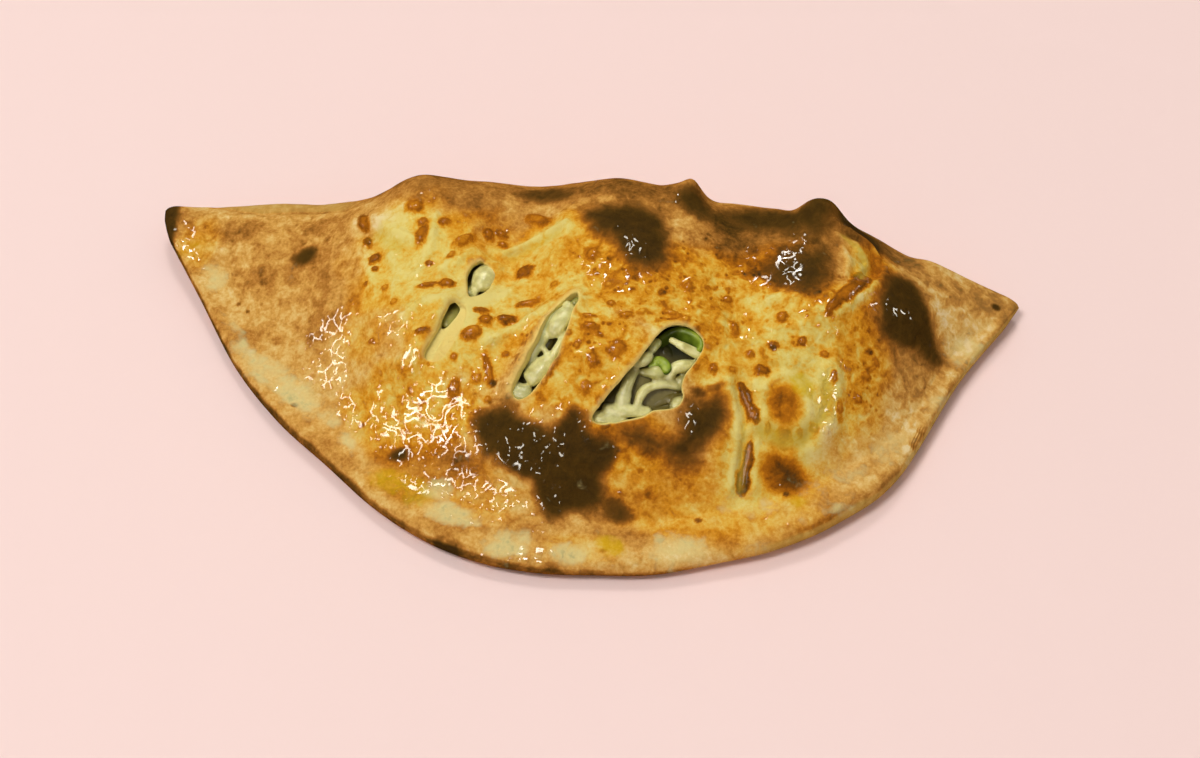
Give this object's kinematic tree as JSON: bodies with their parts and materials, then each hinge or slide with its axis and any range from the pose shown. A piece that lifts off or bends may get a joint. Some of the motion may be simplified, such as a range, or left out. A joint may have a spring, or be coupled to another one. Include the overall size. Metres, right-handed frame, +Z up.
{
  "type": "calzone",
  "caption": "Baked folded half-moon calzone with a pinched rim and slashes on top that show a cheese and green pepper filling.",
  "frame": {"origin": "below the middle of the crust's box, at the height of the surface that it rests on", "axes": "+X along the fold towards the right horn, +Y from the pinched seam towards the fold, +Z up"},
  "size_m": [0.29, 0.136, 0.05],
  "materials": {
    "crust": "baked bread dough, tan to golden, browned and charred in places, partly glossy with oil",
    "filling": "melted pale cheese with strands of soft vegetable, moist",
    "pepper": "cooked green pepper skin, moist"
  },
  "bodies": {
    "root": {"crust": "crust", "filling": "filling", "pepper_slice_upper": "pepper", "pepper_slice_lower": "pepper"}
  },
  "joints": []
}
